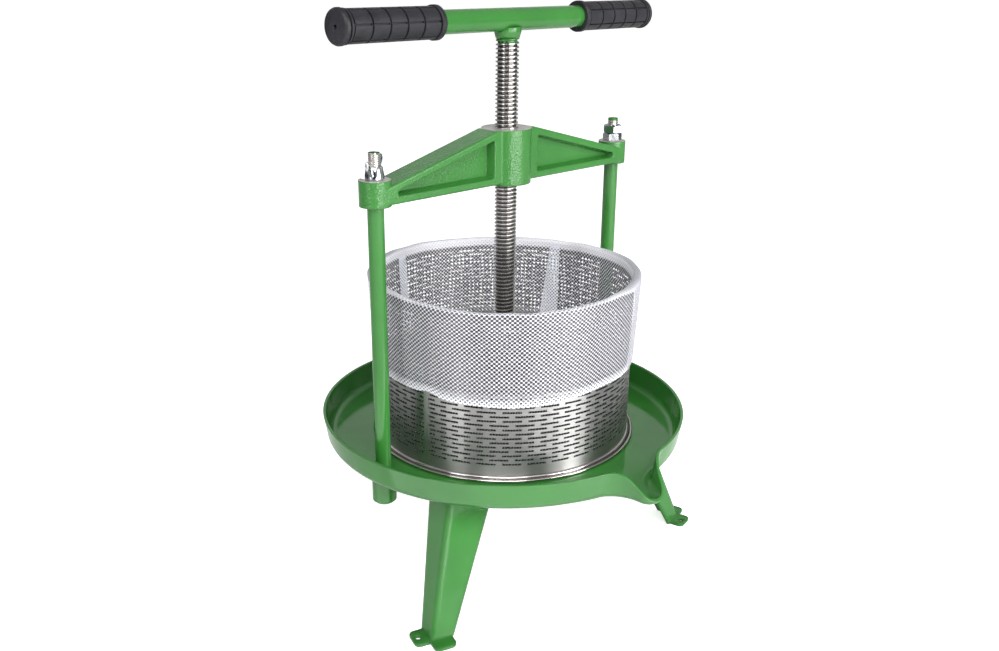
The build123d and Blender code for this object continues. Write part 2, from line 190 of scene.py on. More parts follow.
def drawChain(name, points, startSize=0.001):
    # a small face merged to the first point, which is drawn out along the others
    bpy.ops.object.select_all(action="DESELECT")
    bpy.ops.mesh.primitive_plane_add(size=startSize, location=points[0])
    obj = bpy.context.object
    obj.name = name
    bpy.ops.object.transform_apply(location=True, rotation=True, scale=True)
    openEdit(obj, "VERT")
    bpy.ops.mesh.select_all(action="SELECT")
    bpy.ops.mesh.merge(type="CENTER")
    for last, point in zip(points, points[1:]):
        step = [point[i] - last[i] for i in range(3)]
        bpy.ops.mesh.extrude_vertices_move(TRANSFORM_OT_translate={"value": step})
    closeEdit()
    return obj


def threadRod(name, size):
    # one pitch of the thread's outline, wound past both ends of the rod and cut flat there
    pitch, low, high, steps = size["pitch"], size["low"], size["high"], size["steps"]
    turns = math.ceil((high - low) / pitch) + 2
    obj = drawChain(name, [(radius, 0, low - pitch + rise * pitch) for radius, rise in size["thread"]])
    applyModifier(
        obj, "SCREW", axis="Z", angle=math.tau, screw_offset=pitch, iterations=turns, steps=steps,
        render_steps=steps, use_merge_vertices=True, merge_threshold=seamBelow,
    )
    openEdit(obj, "FACE")
    for level, upward in ((low, -1), (high, 1)):
        bpy.ops.mesh.select_all(action="SELECT")
        bpy.ops.mesh.bisect(
            plane_co=(0, 0, level), plane_no=(0, 0, upward), use_fill=True, clear_outer=True,
        )
    closeEdit()
    cleanNormals(obj)
    return obj


def finishPiece(obj, name, body, slotName, material, *nodes):
    obj.name = name
    obj.data.name = name
    obj.data.materials.clear()
    obj.data.materials.append(material)
    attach(obj, body)
    if nodes:
        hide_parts(*nodes)


# Material helpers
def startMaterial(name):
    material = bpy.data.materials.new(name)
    material.use_nodes = True
    tree = material.node_tree
    shader = tree.nodes["Principled BSDF"]
    place = tree.nodes.new("ShaderNodeTexCoord")
    return material, tree, shader, place.outputs["Object"]


def feed(tree, socket, value):
    if isinstance(value, bpy.types.NodeSocket):
        tree.links.new(value, socket)
    else:
        socket.default_value = value


def stretch(tree, vector, scale, turn=(0, 0, 0)):
    node = tree.nodes.new("ShaderNodeMapping")
    node.inputs["Scale"].default_value = scale
    node.inputs["Rotation"].default_value = turn
    tree.links.new(vector, node.inputs["Vector"])
    return node.outputs["Vector"]


def noise(tree, vector, scale, detail=3.0):
    node = tree.nodes.new("ShaderNodeTexNoise")
    node.inputs["Scale"].default_value = scale
    node.inputs["Detail"].default_value = detail
    tree.links.new(vector, node.inputs["Vector"])
    return node.outputs["Fac"]


def spread(tree, value, fromLow, fromHigh, toLow, toHigh):
    node = tree.nodes.new("ShaderNodeMapRange")
    feed(tree, node.inputs["Value"], value)
    node.inputs["From Min"].default_value = fromLow
    node.inputs["From Max"].default_value = fromHigh
    node.inputs["To Min"].default_value = toLow
    node.inputs["To Max"].default_value = toHigh
    return node.outputs["Result"]


def mathNode(tree, operation, first, second=0.0):
    node = tree.nodes.new("ShaderNodeMath")
    node.operation = operation
    feed(tree, node.inputs[0], first)
    feed(tree, node.inputs[1], second)
    return node.outputs["Value"]


def vectorNode(tree, operation, vector):
    node = tree.nodes.new("ShaderNodeVectorMath")
    node.operation = operation
    tree.links.new(vector, node.inputs[0])
    return node


def mixColour(tree, share, first, second):
    node = tree.nodes.new("ShaderNodeMix")
    node.data_type = "RGBA"
    feed(tree, node.inputs[0], share)
    feed(tree, node.inputs[6], first)
    feed(tree, node.inputs[7], second)
    return node.outputs[2]


def axisOf(tree, vector, axis):
    node = tree.nodes.new("ShaderNodeSeparateXYZ")
    tree.links.new(vector, node.inputs["Vector"])
    return node.outputs[axis]


def radiusOf(tree, place):
    # distance from the upright axis
    return vectorNode(tree, "LENGTH", stretch(tree, place, (1, 1, 0))).outputs["Value"]


def relief(tree, height, depth, normal=None):
    node = tree.nodes.new("ShaderNodeBump")
    node.inputs["Strength"].default_value = 1.0
    node.inputs["Distance"].default_value = depth
    tree.links.new(height, node.inputs["Height"])
    if normal is not None:
        tree.links.new(normal, node.inputs["Normal"])
    return node.outputs["Normal"]


def softEdges(tree, radius, samples=6):
    node = tree.nodes.new("ShaderNodeBevel")
    node.samples = samples
    node.inputs["Radius"].default_value = radius
    return node.outputs["Normal"]


# Most of a noise lies between these
noiseSpan = (0.3, 0.7)

# Green paint
paintLook = {
    "light": (0.038, 0.199, 0.033, 1), "deep": (0.030, 0.164, 0.027, 1), "specular": 0.5,
    "patchScale": 14.0, "patchDetail": 4.0, "patchSpan": (0.35, 0.65),
    "speckScale": 1500.0, "speckDetail": 1.0, "speckSpan": (0.68, 0.78), "speckShare": 0.35,
    "gloss": (0.06, 0.13), "glossScale": 55.0,
    "peelScale": 330.0, "peelDetail": 2.0, "peelDepth": 0.00005, "edge": 0.0016,
}
castLook = dict(
    paintLook, gloss=(0.05, 0.11), peelScale=560.0, peelDepth=0.0004, edge=0.0022,
    bare=(0.66, 0.64, 0.62, 1), bareDull=(0.46, 0.44, 0.43, 1), bareMetal=0.5, bareRough=0.33,
    bareFrom=(0.372, 0.3725), bareFacing=(0.985, 0.995), bareStreaks=(900, 60, 1),
)
legLook = dict(paintLook, edge=0.0055, specular=0.3)
weldLook = dict(paintLook, peelScale=420.0, peelDepth=0.0005)


def paintColour(tree, place, look):
    patches = noise(tree, place, look["patchScale"], look["patchDetail"])
    patches = spread(tree, patches, *look["patchSpan"], 0, 1)
    specks = noise(tree, place, look["speckScale"], look["speckDetail"])
    specks = spread(tree, specks, *look["speckSpan"], 0, look["speckShare"])
    return mixColour(tree, specks, mixColour(tree, patches, look["deep"], look["light"]), look["deep"])


def paintMaterial(name, look):
    material, tree, shader, place = startMaterial(name)
    colour = paintColour(tree, place, look)
    gloss = spread(tree, noise(tree, place, look["glossScale"]), *noiseSpan, *look["gloss"])
    peel = noise(tree, place, look["peelScale"], look["peelDetail"])
    normal = relief(tree, peel, look["peelDepth"], softEdges(tree, look["edge"]))
    shader.inputs["Specular IOR Level"].default_value = look["specular"]
    if "bare" in look:
        # the bosses' top faces are machined, and have no paint
        facing = tree.nodes.new("ShaderNodeTexCoord").outputs["Normal"]
        flat = spread(tree, axisOf(tree, facing, "Z"), *look["bareFacing"], 0, 1)
        high = spread(tree, axisOf(tree, place, "Z"), *look["bareFrom"], 0, 1)
        bare = mathNode(tree, "MULTIPLY", flat, high)
        streaks = noise(tree, stretch(tree, place, look["bareStreaks"]), 1.0)
        metal = mixColour(tree, streaks, look["bare"], look["bareDull"])
        colour = mixColour(tree, bare, colour, metal)
        feed(tree, shader.inputs["Metallic"], mathNode(tree, "MULTIPLY", bare, look["bareMetal"]))
        gloss = mathNode(tree, "MAXIMUM", gloss, mathNode(tree, "MULTIPLY", bare, look["bareRough"]))
    feed(tree, shader.inputs["Base Color"], colour)
    feed(tree, shader.inputs["Roughness"], gloss)
    feed(tree, shader.inputs["Normal"], normal)
    return material


paint = paintMaterial("greenPaint", paintLook)
castPaint = paintMaterial("castPaint", castLook)
legPaint = paintMaterial("legPaint", legLook)
weldPaint = paintMaterial("weldPaint", weldLook)

# Metals
grainLook = {"detail": 4.0, "cloudScale": 22.0, "cloudShare": (0.4, 1.2), "brushTurn": 0.25}
basketLook = {
    "bright": (0.43, 0.422, 0.414, 1), "dull": (0.30, 0.296, 0.292, 1), "rough": (0.38, 0.46),
    "grain": (9, 9, 1400), "depth": 0.000006, "brushed": 0.94,
    # painted shade on the wall, outside above the hem and inside, where the net lies against it
    "netShadeOut": 0.32, "netShadeFrom": (0.199, 0.203), "netShadeIn": 0.02, "netShadeWithin": (0.1165, 0.1168),
}
ringLook = {
    "bright": (0.54, 0.51, 0.50, 1), "dull": (0.38, 0.355, 0.35, 1), "rough": (0.09, 0.17),
    "grain": (40, 40, 40), "depth": 0.000012,
}
plateLook = dict(ringLook, grain=(260, 260, 260), rough=(0.22, 0.36))
zincLook = {
    "bright": (0.58, 0.60, 0.62, 1), "dull": (0.40, 0.42, 0.45, 1), "rough": (0.09, 0.2),
    "grain": (240, 240, 240), "depth": 0.00003,
}
bronzeLook = dict(zincLook, bright=(0.62, 0.42, 0.20, 1), dull=(0.42, 0.27, 0.12, 1), rough=(0.25, 0.4))
hubLook = dict(zincLook, bright=(0.52, 0.52, 0.53, 1), dull=(0.38, 0.38, 0.40, 1), rough=(0.25, 0.42))
screwLook = {
    "bright": (0.70, 0.685, 0.67, 1), "dull": (0.50, 0.485, 0.47, 1), "rough": (0.12, 0.24),
    "grain": (60, 60, 2400), "depth": 0.00001, "brushed": 0.85,
    # rootShade: painted shade in the thread's roots
    "rootShade": (0.14, 0.13, 0.125, 1), "rootToCrest": (0.0084, 0.0092), "paintAbove": 0.4745, "tilt": 0,
}
studLook = {
    "bright": (0.66, 0.63, 0.61, 1), "dull": (0.50, 0.485, 0.47, 1), "rough": (0.2, 0.34),
    "grain": (60, 60, 2400), "depth": 0.00001, "paintAbove": 0.39635, "tilt": 0.006,
}
dipLook = {"raggedScale": 260.0, "ragged": 0.0016, "fade": 0.0004, "bumpScale": 420.0, "bump": 0.0001}


def metalMaterial(name, look):
    material, tree, shader, place = startMaterial(name)
    grain = noise(tree, stretch(tree, place, look["grain"]), 1.0, grainLook["detail"])
    clouds = noise(tree, place, grainLook["cloudScale"])
    share = mathNode(tree, "MULTIPLY", grain, spread(tree, clouds, *noiseSpan, *grainLook["cloudShare"]))
    colour = mixColour(tree, share, look["bright"], look["dull"])
    rough = spread(tree, grain, *noiseSpan, *look["rough"])
    normal = relief(tree, grain, look["depth"])
    metallic = 1.0
    if "brushed" in look:
        # drawn round the axis, so that reflections smear up and down
        shader.inputs["Anisotropic"].default_value = look["brushed"]
        shader.inputs["Anisotropic Rotation"].default_value = grainLook["brushTurn"]
        around = tree.nodes.new("ShaderNodeTangent")
        around.direction_type = "RADIAL"
        around.axis = "Z"
        tree.links.new(around.outputs["Tangent"], shader.inputs["Tangent"])
    if "netShadeOut" in look:
        # painted shade where the net lies against it, darkest inside the basket
        inside = spread(tree, radiusOf(tree, place), *look["netShadeWithin"], look["netShadeIn"], 1)
        outside = spread(tree, axisOf(tree, place, "Z"), *look["netShadeFrom"], 1, look["netShadeOut"])
        colour = mixColour(tree, mathNode(tree, "MINIMUM", inside, outside), (0, 0, 0, 1), colour)
    if "rootShade" in look:
        # painted shade, darker at the thread's root
        depth = spread(tree, radiusOf(tree, place), *look["rootToCrest"], 1, 0)
        colour = mixColour(tree, depth, colour, look["rootShade"])
    if "paintAbove" in look:
        # painted at the top with a ragged edge, lower on the right stud than on the left one
        ragged = noise(tree, place, dipLook["raggedScale"])
        ragged = spread(tree, ragged, *noiseSpan, -dipLook["ragged"], dipLook["ragged"])
        tilt = mathNode(tree, "MULTIPLY", axisOf(tree, place, "X"), look["tilt"])
        level = mathNode(tree, "ADD", mathNode(tree, "ADD", axisOf(tree, place, "Z"), tilt), ragged)
        painted = spread(tree, level, look["paintAbove"], look["paintAbove"] + dipLook["fade"], 0, 1)
        colour = mixColour(tree, painted, colour, paintColour(tree, place, paintLook))
        metallic = mathNode(tree, "SUBTRACT", 1.0, painted)
        normal = relief(tree, noise(tree, place, dipLook["bumpScale"]), dipLook["bump"], normal)
    feed(tree, shader.inputs["Base Color"], colour)
    feed(tree, shader.inputs["Metallic"], metallic)
    feed(tree, shader.inputs["Roughness"], rough)
    feed(tree, shader.inputs["Normal"], normal)
    return material


stainless = metalMaterial("basketStainless", basketLook)
ringSteel = metalMaterial("ringStainless", ringLook)
plateSteel = metalMaterial("plateStainless", plateLook)
zinc = metalMaterial("zincPlate", zincLook)
bronze = metalMaterial("washerBronze", bronzeLook)
hubSteel = metalMaterial("hubSteel", hubLook)
screwSteel = metalMaterial("screwSteel", screwLook)
studSteel = metalMaterial("studSteel", studLook)

# Rubber
rubberLook = {
    "dark": (0.0085, 0.0085, 0.011, 1), "worn": (0.018, 0.0185, 0.0245, 1), "specular": 0.36,
    "wearScale": 70.0, "wearDetail": 5.0, "wearSpan": (0.35, 0.7), "rough": (0.42, 0.6),
    "grainScale": 760.0, "grainDetail": 2.0, "depth": 0.0003, "edge": 0.0004,
}


def rubberMaterial(name, look):
    material, tree, shader, place = startMaterial(name)
    wear = noise(tree, place, look["wearScale"], look["wearDetail"])
    wear = spread(tree, wear, *look["wearSpan"], 0, 1)
    feed(tree, shader.inputs["Base Color"], mixColour(tree, wear, look["dark"], look["worn"]))
    feed(tree, shader.inputs["Roughness"], spread(tree, wear, 0, 1, *look["rough"]))
    shader.inputs["Specular IOR Level"].default_value = look["specular"]
    grain = noise(tree, place, look["grainScale"], look["grainDetail"])
    feed(tree, shader.inputs["Normal"], relief(tree, grain, look["depth"], softEdges(tree, look["edge"])))
    return material


rubber = rubberMaterial("gripRubber", rubberLook)

# Net, with its holes on the piece's own UV: columns across and metres from the fold
netLook = {
    # lining: the same thread painted lighter inside the basket, as painted light
    "thread": (0.88, 0.875, 0.915, 1), "shadow": (0.72, 0.72, 0.80, 1), "lining": (0.97, 0.97, 0.99, 1),
    "tint": (0.7, 1.1), "tintScale": 60.0, "rough": (0.42, 0.6), "roughScale": 120.0,
    "columns": 186, "rowPitch": 0.00356, "hole": 0.455, "holeSoft": 0.04, "strand": 0.3, "relief": 0.0002,
    "front": (-0.7071, -0.7071, 0), "sideSpan": (0.03, 0.09), "rearSpan": (-0.04, 0), "rearHole": 0.85,
    "outFrom": (0.004, 0.006), "litLiningTo": (-0.010, -0.007),
    "closedIn": (0.0085, 0.0105), "closedOut": (0.0056, 0.0076), "foldHole": 0.2,
    "openFront": 0.0044, "frontSpan": (0.05, 0.10), "frontHole": 0.75,
    # painted shade on the fold at the two sides
    "sideShade": (0.42, 0.42, 0.47, 1), "sideShadeFrom": (-0.004, -0.002), "sideShadeTo": (0.008, 0.012),
    "seam": (0.44, 0.435, 0.49, 1), "seamAt": 154.6, "seamHalf": (3.8, 5.4), "seamHole": 0.3,
    "hemAt": 0.0823, "closedHem": (0.0008, 0.008), "hemHole": 0.5,
    # back: painted shade for the net's back faces below the rim
    "back": (0.03, 0.03, 0.04, 1), "shadedBackTo": (0.260, 0.263),
}
pleatLook = dict(netLook, thread=(0.86, 0.88, 0.98, 1), shadow=(0.76, 0.79, 0.93, 1), hole=0.273)


def netMaterial(name, look):
    material, tree, shader, place = startMaterial(name)
    cloth = tree.nodes.new("ShaderNodeTexCoord").outputs["UV"]
    along = axisOf(tree, cloth, "Y")
    outside = spread(tree, along, *look["outFrom"], 0, 1)
    inside = spread(tree, along, *look["litLiningTo"], 1, 0)
    ahead = vectorNode(tree, "DOT_PRODUCT", place)
    ahead.inputs[1].default_value = look["front"]
    ahead = ahead.outputs["Value"]
    fromSide = mathNode(tree, "ABSOLUTE", ahead)

    # round holes in a lattice that stands on its corner
    diagonal = math.sqrt(2)
    scale = (diagonal, diagonal / look["rowPitch"], 1)
    cells = tree.nodes.new("ShaderNodeTexVoronoi")
    cells.voronoi_dimensions = "2D"
    cells.inputs["Scale"].default_value = 1.0
    cells.inputs["Randomness"].default_value = 0.0
    tree.links.new(stretch(tree, cloth, scale, (0, 0, math.radians(45))), cells.inputs["Vector"])

    # drawn shut over the rim, less far down at the front and back, and mostly open at the very front
    inner = mathNode(tree, "MULTIPLY", along, -1.0)
    inner = spread(tree, inner, *look["closedIn"], look["foldHole"], 1)
    outer = mathNode(tree, "ADD", along, spread(tree, fromSide, *look["sideSpan"], 0, look["openFront"]))
    outer = spread(tree, outer, *look["closedOut"], look["foldHole"], 1)
    front = spread(tree, ahead, *look["frontSpan"], 0, look["frontHole"])
    share = mathNode(tree, "MAXIMUM", mathNode(tree, "MAXIMUM", inner, outer), front)

    # smaller holes at the hem, on the sewn seam and at the back
    hem = mathNode(tree, "SUBTRACT", look["hemAt"], along)
    hem = spread(tree, hem, *look["closedHem"], look["hemHole"], 1)
    seam = mathNode(tree, "SUBTRACT", axisOf(tree, cloth, "X"), look["seamAt"])
    seam = spread(tree, mathNode(tree, "ABSOLUTE", seam), *look["seamHalf"], 1, 0)
    seam = mathNode(tree, "MULTIPLY", outside, seam)
    rear = mathNode(tree, "MULTIPLY", outside, spread(tree, ahead, *look["rearSpan"], 1, 0))
    share = mathNode(tree, "MULTIPLY", share, hem)
    share = mathNode(tree, "MULTIPLY", share, spread(tree, seam, 0, 1, 1, look["seamHole"]))
    share = mathNode(tree, "MULTIPLY", share, spread(tree, rear, 0, 1, 1, look["rearHole"]))
    hole = mathNode(tree, "MULTIPLY", share, look["hole"])
    edge = mathNode(tree, "SUBTRACT", cells.outputs["Distance"], hole)
    feed(tree, shader.inputs["Alpha"], spread(tree, edge, -look["holeSoft"], look["holeSoft"], 0, 1))

    # white threads, with painted light on the lining inside, painted shade on the fold at the two sides,
    # greyer on the seam, and painted shade on back faces below the rim
    strand = spread(tree, edge, 0, look["strand"], 0, 1)
    tint = spread(tree, noise(tree, place, look["tintScale"]), *noiseSpan, *look["tint"])
    tint = mathNode(tree, "MULTIPLY", strand, tint)
    # painted light: the lining inside the basket is painted lighter than the same thread outside
    colour = mixColour(tree, inside, look["thread"], look["lining"])
    colour = mixColour(tree, tint, look["shadow"], colour)
    # painted shade on the fold at the two sides
    sideShadeShare = spread(tree, fromSide, *look["sideSpan"], 1, 0)
    sideShadeShare = mathNode(tree, "MULTIPLY", sideShadeShare, spread(tree, along, *look["sideShadeFrom"], 0, 1))
    sideShadeShare = mathNode(tree, "MULTIPLY", sideShadeShare, spread(tree, along, *look["sideShadeTo"], 1, 0))
    colour = mixColour(tree, sideShadeShare, colour, look["sideShade"])
    colour = mixColour(tree, seam, colour, look["seam"])
    # painted shade: back faces below the rim, which face the metal, are painted near-black
    behind = tree.nodes.new("ShaderNodeNewGeometry").outputs["Backfacing"]
    low = spread(tree, axisOf(tree, place, "Z"), *look["shadedBackTo"], 1, 0)
    colour = mixColour(tree, mathNode(tree, "MULTIPLY", behind, low), colour, look["back"])
    rough = spread(tree, noise(tree, place, look["roughScale"]), *noiseSpan, *look["rough"])
    feed(tree, shader.inputs["Base Color"], colour)
    feed(tree, shader.inputs["Roughness"], rough)
    feed(tree, shader.inputs["Normal"], relief(tree, strand, look["relief"]))
    return material


net = netMaterial("bagNet", netLook)
foldNet = netMaterial("bagFoldNet", pleatLook)
print("stage: materials made")

# CAD pieces that stay as they are
finishes = {
    "tray": paint, "left_leg": legPaint, "right_leg": legPaint, "rear_leg": legPaint,
    "left_post_socket": paint, "right_post_socket": paint, "crossbeam": castPaint,
    "handle_tube": paint, "weld_bead": weldPaint, "press_plate": plateSteel, "plate_hub": hubSteel,
    "thrust_washer": bronze, "keeper_screws": zinc, "basket_seam_strip": stainless,
}
for nodeName, material in finishes.items():
    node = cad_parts[nodeName]
    node.data.materials.clear()
    node.data.materials.append(material)
print("stage: CAD pieces finished")

# Press screw: thread above, plain grooved end in the hub
screwSize = {
    "pitch": 0.0035, "low": 0.224, "high": 0.4829, "steps": 26, "endSteps": 48, "sharp": 40,
    "thread": [
        (0.0083, 0), (0.0083, 0.18), (0.0097, 0.38), (0.0100, 0.44), (0.0100, 0.64), (0.0097, 0.70),
        (0.0083, 0.90), (0.0083, 1),
    ],
    "end": [
        (0.0088, 0.1981), (0.0099, 0.1992), (0.0099, 0.2037), (0.0076, 0.2037), (0.0076, 0.2103),
        (0.0099, 0.2103), (0.0099, 0.2232), (0.0083, 0.2242),
    ],
}
screw = threadRod("pressScrew", screwSize)
screwEnd = turnProfile("screwEnd", screwSize["end"], screwSize["endSteps"], capped=True)
joinInto(screw, screwEnd)
smooth(screw, screwSize["sharp"])
finishPiece(screw, "pressScrew", "screw", "screw_steel", screwSteel, "press_screw")
print("stage: screw")

# Posts with threaded studs
studSize = {
    "pitch": 0.0015, "low": 0.3555, "high": 0.3979, "steps": 20, "sharp": 40,
    "thread": [(0.0043, 0), (0.0043, 0.15), (0.0050, 0.45), (0.0050, 0.65), (0.0043, 0.95), (0.0043, 1)],
}
postSize = {
    "x": 0.1445, "steps": 40, "sharp": 40,
    "shaft": [
        (0.0060, 0.0975), (0.00675, 0.0983), (0.00675, 0.3549), (0.0062, 0.3555), (0.0042, 0.3555),
    ],
}
stud = threadRod("stud", studSize)
smooth(stud, studSize["sharp"])
shaft = turnProfile("shaft", postSize["shaft"], postSize["steps"], capped=True)
smooth(shaft, postSize["sharp"])
for sideName, side in (("left", -1), ("right", 1)):
    place = Matrix.Translation((side * postSize["x"], 0, 0))
    post = copyTo(shaft, place)
    end = copyTo(stud, place)
    finishPiece(post, sideName + "Post", "frame", "green_paint", paint, sideName + "_post")
    finishPiece(end, sideName + "Stud", "frame", "zinc", studSteel)
bpy.data.objects.remove(stud)
bpy.data.objects.remove(shaft)
print("stage: posts")

# Hex nuts, one made and copied
nutSize = {
    "flats": 0.016, "height": 0.00742, "chamfer": 0.0011, "low": 0.37652, "gap": 0.0075, "turns": (-10, 15),
    "crown": 0.0001, "slope": 1.7, "past": 0.0005, "steps": 72, "sharp": 25,
    "bore": 0.00505, "boreSpan": (-0.002, 0.012),
}
corner = nutSize["flats"] / 2 / math.cos(math.radians(30))
bpy.ops.object.select_all(action="DESELECT")
bpy.ops.mesh.primitive_cylinder_add(
    vertices=6, radius=corner, depth=nutSize["height"], location=(0, 0, nutSize["height"] / 2)
)
hexNut = bpy.context.object
bpy.ops.object.transform_apply(location=True, rotation=True, scale=True)
# the crown stands past both end faces, so that the cut has no faces in one plane
inset = nutSize["slope"] * nutSize["chamfer"]
inset += nutSize["past"] * (inset + nutSize["crown"]) / nutSize["chamfer"]
crown = turnProfile("crown", [
    (corner - inset, -nutSize["past"]), (corner + nutSize["crown"], nutSize["chamfer"]),
    (corner + nutSize["crown"], nutSize["height"] - nutSize["chamfer"]),
    (corner - inset, nutSize["height"] + nutSize["past"]),
], nutSize["steps"], capped=True)
combine(hexNut, crown, "INTERSECT")
cutBore(hexNut, nutSize)
nuts = []
for level, turn in enumerate(nutSize["turns"]):
    place = Matrix.Translation((postSize["x"], 0, nutSize["low"] + level * nutSize["gap"]))
    nuts.append(copyTo(hexNut, place @ Matrix.Rotation(math.radians(turn), 4, "Z")))
bpy.data.objects.remove(hexNut)
joinInto(*nuts)
finishPiece(nuts[0], "postNuts", "frame", "zinc", zinc, "post_nuts")
print("stage: nuts")

# Wing nut: turned hub and two wings, drawn out along stations of (reach, low, high)
wingSize = {
    "low": 0.37655, "turn": 36, "thick": 0.0034, "root": 0.002, "steps": 48, "rounding": 3, "sharp": 35,
    "bore": 0.00506, "boreSpan": (-0.002, 0.03),
    "hub": [(0.0068, 0), (0.0078, 0.0008), (0.0078, 0.003), (0.0066, 0.0098), (0.0058, 0.0107)],
    "stations": [
        (0.0050, 0.0012, 0.0090), (0.0095, 0.0026, 0.0104), (0.0138, 0.0056, 0.0152),
        (0.0176, 0.0084, 0.0180), (0.0206, 0.0100, 0.0180),
    ],
}
wingNut = turnProfile("wingNut", wingSize["hub"], wingSize["steps"], capped=True)
reach, low, high = wingSize["stations"][0]
bpy.ops.object.select_all(action="DESELECT")
bpy.ops.mesh.primitive_cube_add(size=1, location=(reach - wingSize["root"] / 2, 0, (low + high) / 2))
wing = bpy.context.object
wing.scale = (wingSize["root"], wingSize["thick"], high - low)
bpy.ops.object.transform_apply(location=True, rotation=True, scale=True)
openEdit(wing, "FACE")
pickFaces(wing, lambda middle, normal: normal.x > looksAlong)
for last, here in zip(wingSize["stations"], wingSize["stations"][1:]):
    rise = (here[1] + here[2] - last[1] - last[2]) / 2
    bpy.ops.mesh.extrude_region_move(TRANSFORM_OT_translate={"value": (here[0] - last[0], 0, rise)})
    middle = (here[0], 0, (here[1] + here[2]) / 2)
    taller = (here[2] - here[1]) / (last[2] - last[1])
    bpy.ops.transform.resize(value=(1, 1, taller), center_override=middle)
closeEdit()
applyModifier(wing, "SUBSURF", levels=wingSize["rounding"], render_levels=wingSize["rounding"])
cleanNormals(wing)
otherWing = copyTo(wing, Matrix.Rotation(math.pi, 4, "Z"))
combine(wingNut, wing, "UNION")
combine(wingNut, otherWing, "UNION")
cutBore(wingNut, wingSize)
place = Matrix.Translation((-postSize["x"], 0, wingSize["low"]))
settle(wingNut, place @ Matrix.Rotation(math.radians(wingSize["turn"]), 4, "Z"))
finishPiece(wingNut, "wingNut", "wing_nut", "zinc", zinc, "wing_nut")
print("stage: wing nut")

# Grips: turned rubber with ring grooves, and length grooves pressed in
gripSize = {
    "steps": 60, "perBlock": 10, "sharp": 35, "body": 0.0127, "groove": 0.0113, "bead": 0.0131,
    "flange": 0.0136, "rings": (0.0235, 0.0405, 0.0575, 0.0745), "ringHalf": 0.0010, "ringFloor": 0.0007,
    "blocks": (0.006, 0.0915), "bodyWithin": 0.0001,
    "height": 0.4926, "turn": 2.7, "offset": 0.0045, "start": 0.087,
    "sides": {"left": {"heading": 180, "roll": 34}, "right": {"heading": 0, "roll": 0}},
}
body, groove, bead, flange = (gripSize[key] for key in ("body", "groove", "bead", "flange"))
outline = [
    (0.0097, 0.0001), (0.0129, 0.0001), (flange, 0.0009), (flange, 0.0046), (bead, 0.0052),
    (groove, 0.0054), (groove, 0.0064), (body, 0.0066),
]
for ring in gripSize["rings"]:
    outline += [
        (body, ring - gripSize["ringHalf"]), (groove, ring - gripSize["ringFloor"]),
        (groove, ring + gripSize["ringFloor"]), (body, ring + gripSize["ringHalf"]),
    ]
outline += [
    (body, 0.0910), (groove, 0.0912), (groove, 0.0921), (bead, 0.0923), (bead, 0.0941), (groove, 0.0943),
    (groove, 0.0951), (bead, 0.0953), (flange, 0.0959), (flange, 0.0978), (0.0130, 0.0991),
    (0.0117, 0.0999), (0.0022, 0.0999), (0.0018, 0.0996), (0.0016, 0.0972), (0.0002, 0.0970),
]
gripPiece = turnProfile("grip", outline, gripSize["steps"])


def onLengthGroove(middle, normal):
    low, high = gripSize["blocks"]
    onBody = abs(math.hypot(middle.x, middle.y) - body) < gripSize["bodyWithin"]
    betweenBlocks = columnOf(middle, gripSize["steps"]) % gripSize["perBlock"] == 0
    return onBody and low < middle.z < high and betweenBlocks


openEdit(gripPiece, "FACE")
pickFaces(gripPiece, onLengthGroove)
bpy.ops.mesh.extrude_region_move()
widen(groove / body)
closeEdit()
cleanNormals(gripPiece)
smooth(gripPiece, gripSize["sharp"])
turn = Matrix.Rotation(math.radians(gripSize["turn"]), 4, "Z")
middle = turn @ Vector((gripSize["offset"], 0, 0)) + Vector((0, 0, gripSize["height"]))
outward = Matrix.Translation((gripSize["start"], 0, 0)) @ Matrix.Rotation(math.radians(90), 4, "Y")
for sideName, side in gripSize["sides"].items():
    heading = Matrix.Rotation(math.radians(side["heading"]), 4, "Z")
    roll = Matrix.Rotation(math.radians(side["roll"]), 4, "Z")
    grip = copyTo(gripPiece, Matrix.Translation(middle) @ turn @ heading @ outward @ roll)
    finishPiece(grip, sideName + "Grip", "screw", "grip_rubber", rubber, sideName + "_grip")
bpy.data.objects.remove(gripPiece)
print("stage: grips")

# Basket wall: two rows of slots cut in a band, stacked, with plain bands and a turned-out rim
wallSize = {
    "radius": 0.117, "columns": 136, "perSlot": 4, "rowPitch": 0.004, "slot": 0.0018, "stacks": 16,
    "firstBand": 0.135, "low": 0.1221, "top": 0.2714, "sheet": 0.0006, "rim": 0.0021, "hem": 0.003,
    "sharp": 30,
}
unit = 2 * wallSize["rowPitch"]
bpy.ops.object.select_all(action="DESELECT")
bpy.ops.mesh.primitive_cylinder_add(
    vertices=wallSize["columns"], radius=wallSize["radius"], depth=unit, end_fill_type="NOTHING",
    location=(0, 0, wallSize["firstBand"] + unit / 2),
)
wall = bpy.context.object
bpy.ops.object.transform_apply(location=True, rotation=True, scale=True)
openEdit(wall, "FACE")
rows = [wallSize["firstBand"] + wallSize["rowPitch"] * (row + 0.5) for row in range(2)]
for row in rows:
    for edge in (-0.5, 0.5):
        bpy.ops.mesh.select_all(action="SELECT")
        bpy.ops.mesh.bisect(plane_co=(0, 0, row + edge * wallSize["slot"]), plane_no=(0, 0, 1))


def onSlot(middle, normal):
    # the second row's slots are half a slot further on
    for number, row in enumerate(rows):
        if abs(middle.z - row) < wallSize["slot"] / 2:
            shift = number * wallSize["perSlot"] // 2
            return (columnOf(middle, wallSize["columns"]) + shift) % wallSize["perSlot"] != 0
    return False


